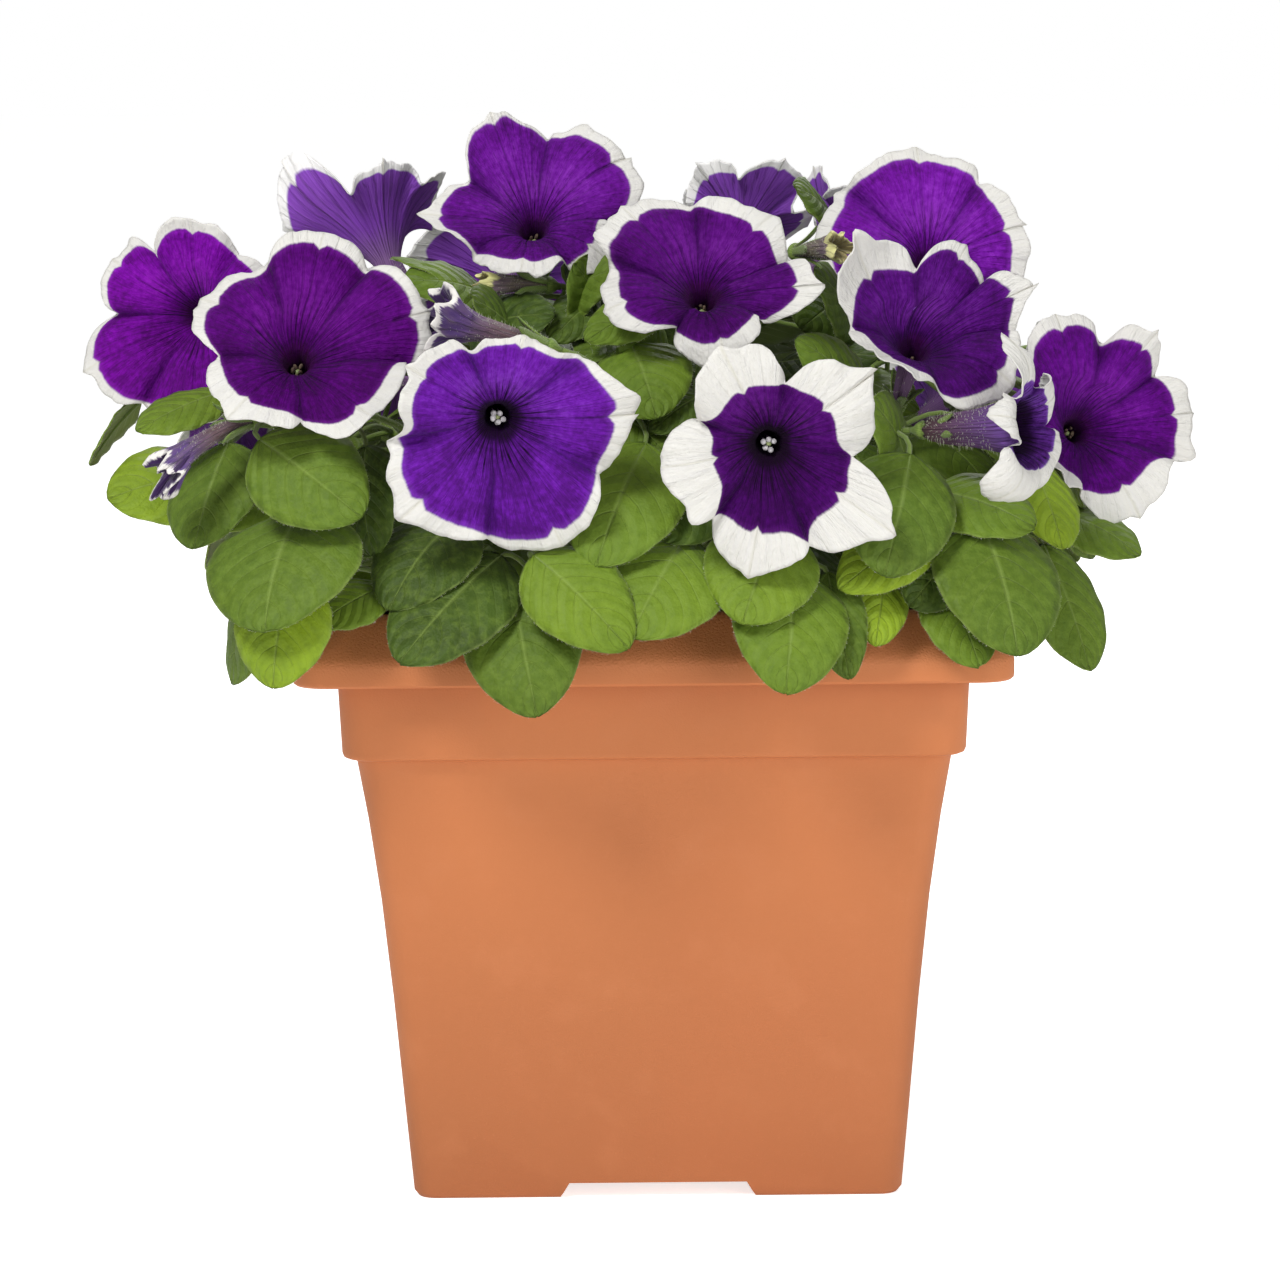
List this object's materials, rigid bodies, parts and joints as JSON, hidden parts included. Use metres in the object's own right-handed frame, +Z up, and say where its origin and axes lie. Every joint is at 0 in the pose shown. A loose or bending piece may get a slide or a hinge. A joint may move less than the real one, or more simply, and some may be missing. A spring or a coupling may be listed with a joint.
{
  "type": "potted petunia",
  "caption": "Bedding petunia with white-edged violet trumpet blooms over a mound of soft oval leaves, rooted in soil in a square flared planter; stands on flat corner feet.",
  "frame": {"origin": "middle of the bounding box, on the ground under the feet", "axes": "+Z up, -Y toward the front that the picture shows, +X to its right; the sides of the pot face X and Y"},
  "size_m": [0.4122, 0.3402, 0.4],
  "materials": {
    "terracotta_plastic": "satin moulded plastic in a terracotta colour, upper lip finely grained",
    "potting_mix": "crumbly peat and bark potting mix",
    "petals": "thin velvety violet petals with a white margin",
    "folded_petals": "folded and withered petals, mauve with cream edges",
    "foliage": "soft green leaves and stems with fine short hairs"
  },
  "bodies": {
    "root": {"pot": "terracotta_plastic", "soil": "potting_mix", "bloom_left": "petals", "bloom_left_front": "petals", "bloom_back_left": "petals", "bloom_top": "petals", "bloom_centre_front": "petals", "bloom_centre_right": "petals", "bloom_star": "petals", "bloom_top_right": "petals", "bloom_right": "petals", "bloom_far_right": "petals", "bloom_back_middle": "petals", "bloom_back_right": "petals", "bloom_half_open": "petals", "bloom_side_right": "petals", "bloom_rear_1": "petals", "bloom_rear_2": "petals", "bloom_rear_3": "petals", "bloom_rear_4": "petals", "bloom_side_left": "petals", "bloom_rear_5": "petals", "bloom_rear_6": "petals", "bud_front_folded": "folded_petals", "bud_left_hanging": "folded_petals", "bud_top_withered": "folded_petals", "bud_right_withered": "folded_petals", "bud_rear_folded": "folded_petals", "bud_rear_hanging": "folded_petals", "shoot_left": "foliage", "shoot_left_front": "foliage", "shoot_back_left": "foliage", "shoot_top": "foliage", "shoot_centre_front": "foliage", "shoot_centre_right": "foliage", "shoot_star": "foliage", "shoot_top_right": "foliage", "shoot_right": "foliage", "shoot_far_right": "foliage", "shoot_back_middle": "foliage", "shoot_side_right": "foliage", "shoot_rear_1": "foliage", "shoot_rear_2": "foliage", "shoot_rear_3": "foliage", "shoot_rear_4": "foliage", "shoot_side_left": "foliage", "shoot_rear_5": "foliage", "shoot_low_1": "foliage", "shoot_low_2": "foliage", "shoot_low_3": "foliage", "shoot_low_4": "foliage", "shoot_low_5": "foliage", "shoot_low_6": "foliage", "shoot_low_7": "foliage", "shoot_low_8": "foliage", "shoot_low_9": "foliage", "shoot_low_10": "foliage", "shoot_low_11": "foliage"}
  },
  "joints": []
}
